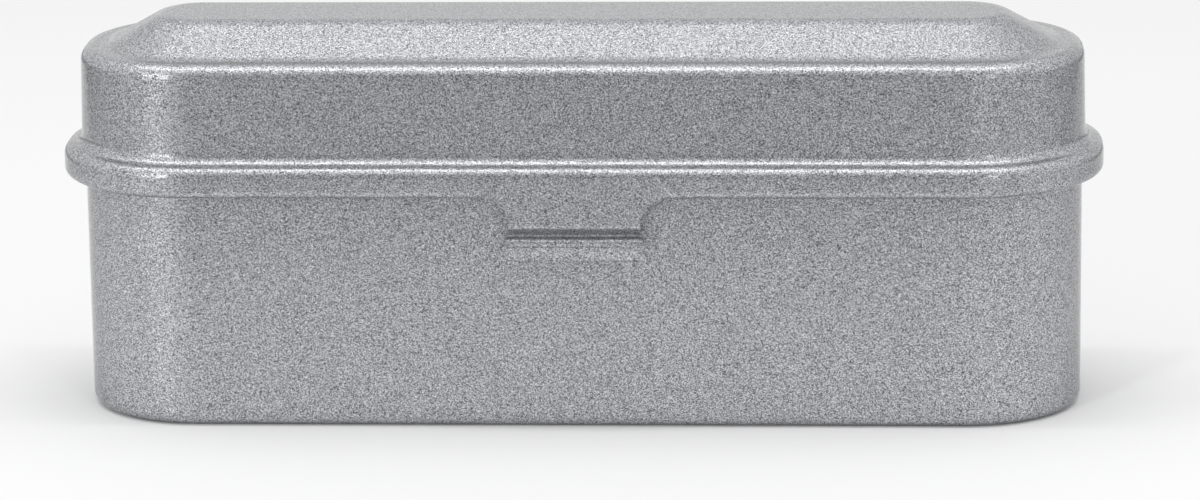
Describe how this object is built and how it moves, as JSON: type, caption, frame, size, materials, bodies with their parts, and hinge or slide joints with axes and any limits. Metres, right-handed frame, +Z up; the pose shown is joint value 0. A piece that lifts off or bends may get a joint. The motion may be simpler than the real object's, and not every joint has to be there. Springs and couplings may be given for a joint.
{
  "type": "film cassette case",
  "caption": "Drawn steel case for 35 mm film cassettes, with a stepped lid on two pinned rear hinges, a front snap tab and a welled plastic tray inside.",
  "frame": {"origin": "centre of the base, on the surface that the case stands on", "axes": "+X along the case towards its right end seen from the snap tab, +Y towards the hinges, +Z up"},
  "size_m": [0.1564, 0.0456, 0.0595],
  "materials": {
    "silver_paint": "fine sparkling silver, satin",
    "plated_steel": "bright zinc plating",
    "black_plastic": "fine matt moulding"
  },
  "bodies": {
    "base": {"base_pan": "silver_paint", "film_tray": "black_plastic", "hinge_base_leaf_left": "silver_paint", "hinge_base_leaf_right": "silver_paint", "hinge_pin_left": "plated_steel", "hinge_pin_right": "plated_steel"},
    "lid": {"lid_shell": "silver_paint", "hinge_lid_leaf_left": "silver_paint", "hinge_lid_leaf_right": "silver_paint"}
  },
  "joints": [
    {"name": "lid_hinge", "type": "hinge", "parent": "base", "child": "lid", "pos_m": [0, 0.02035, 0.0359], "axis": [-1, 0, 0], "range_deg": [0, 105]}
  ]
}
